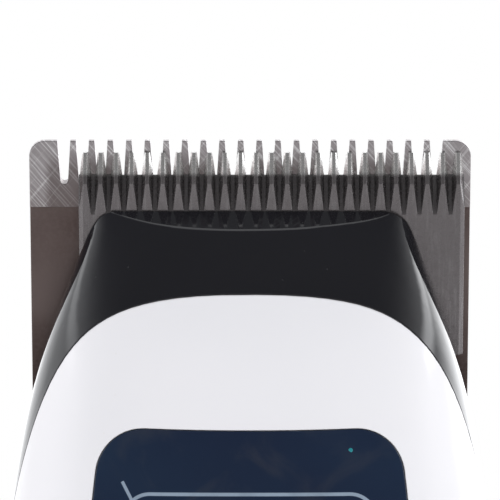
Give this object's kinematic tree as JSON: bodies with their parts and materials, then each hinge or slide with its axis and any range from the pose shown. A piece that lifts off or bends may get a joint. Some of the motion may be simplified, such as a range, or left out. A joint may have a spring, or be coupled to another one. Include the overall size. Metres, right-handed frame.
{
  "type": "handheld electric clipper",
  "caption": "Cordless hand clipper with a wide steel comb and sliding cutter, gloss black nose, white front cover, dark display window and a push button.",
  "frame": {"origin": "centre of the flat base face of the tail, with the clipper standing upright", "axes": "+Z along the handle from tail to blade tips, -Y out of the front cover and its display, +X to the right of someone who faces the front"},
  "size_m": [0.0503, 0.0354, 0.1762],
  "materials": {
    "ground_steel": "surface-ground steel with fine diagonal scratches",
    "cutter_steel": "dark ground steel",
    "zinc_screws": "bright zinc-plated steel",
    "carrier_plastic": "natural acetal",
    "dark_zinc": "black-coated zinc casting",
    "spring_steel": "tempered spring steel",
    "black_gloss": "high-gloss black",
    "white_gloss": "high-gloss white",
    "black_screws": "black oxide",
    "navy_window": "gloss navy window",
    "black_foam": "black foam",
    "display_grey": "unlit display glass",
    "button_grey": "satin grey",
    "bright_ring": "bright plated",
    "switch_plastic": "black switch plastic",
    "board_green": "green solder mask",
    "chip_black": "moulded black",
    "frame_plastic": "black glass-filled plastic",
    "motor_steel": "drawn steel",
    "brass_parts": "turned brass and bronze",
    "magnet_grey": "sintered ferrite",
    "rotor_steel": "laminated steel",
    "shaft_steel": "ground shaft",
    "cell_wrap": "blue shrink wrap over a steel can",
    "nickel_tabs": "nickel plated",
    "lead_sleeve": "silicone sleeve"
  },
  "bodies": {
    "housing": {"comb_blade": "ground_steel", "comb_screws": "zinc_screws", "blade_bracket": "dark_zinc", "leaf_spring": "spring_steel", "leaf_spring_screws": "zinc_screws", "nose_shell": "black_gloss", "front_cover": "white_gloss", "rear_shell": "black_gloss", "tail_cap": "black_gloss", "housing_screws": "black_screws", "display_window": "navy_window", "display_gasket": "black_foam", "display_module": "display_grey", "button_ring": "bright_ring", "tact_switch": "switch_plastic", "main_board": "board_green", "board_chips": "chip_black", "board_screws": "zinc_screws", "chassis": "frame_plastic", "motor_can": "motor_steel", "motor_end_cap": "carrier_plastic", "motor_terminals": "brass_parts", "motor_bushes": "brass_parts", "motor_magnets": "magnet_grey", "motor_screws": "zinc_screws", "battery_cell": "cell_wrap", "battery_tabs": "nickel_tabs", "charging_inlet": "nickel_tabs", "inlet_tongue": "chip_black", "inlet_board": "board_green", "motor_leads": "lead_sleeve", "battery_lead": "lead_sleeve", "charge_leads": "lead_sleeve"},
    "cutter": {"cutter_blade": "cutter_steel", "cutter_carrier": "carrier_plastic", "carrier_rivets": "zinc_screws"},
    "rotor": {"rotor_core": "rotor_steel", "motor_shaft": "shaft_steel", "eccentric_cam": "brass_parts", "drive_pin": "shaft_steel"},
    "button": {"power_button": "button_grey", "switch_stem": "switch_plastic"}
  },
  "joints": [
    {"name": "cutter_slide", "type": "slide", "parent": "housing", "child": "cutter", "axis": [1, 0, 0], "range_m": [-0.0044, 0]},
    {"name": "rotor_spin", "type": "hinge", "parent": "housing", "child": "rotor", "pos_m": [0, -0.004, 0.12], "axis": [0, 0, 1], "continuous": true},
    {"name": "button_press", "type": "slide", "parent": "housing", "child": "button", "axis": [0, 1, 0], "range_m": [0, 0.0005], "stiffness_N_per_m": 600}
  ]
}
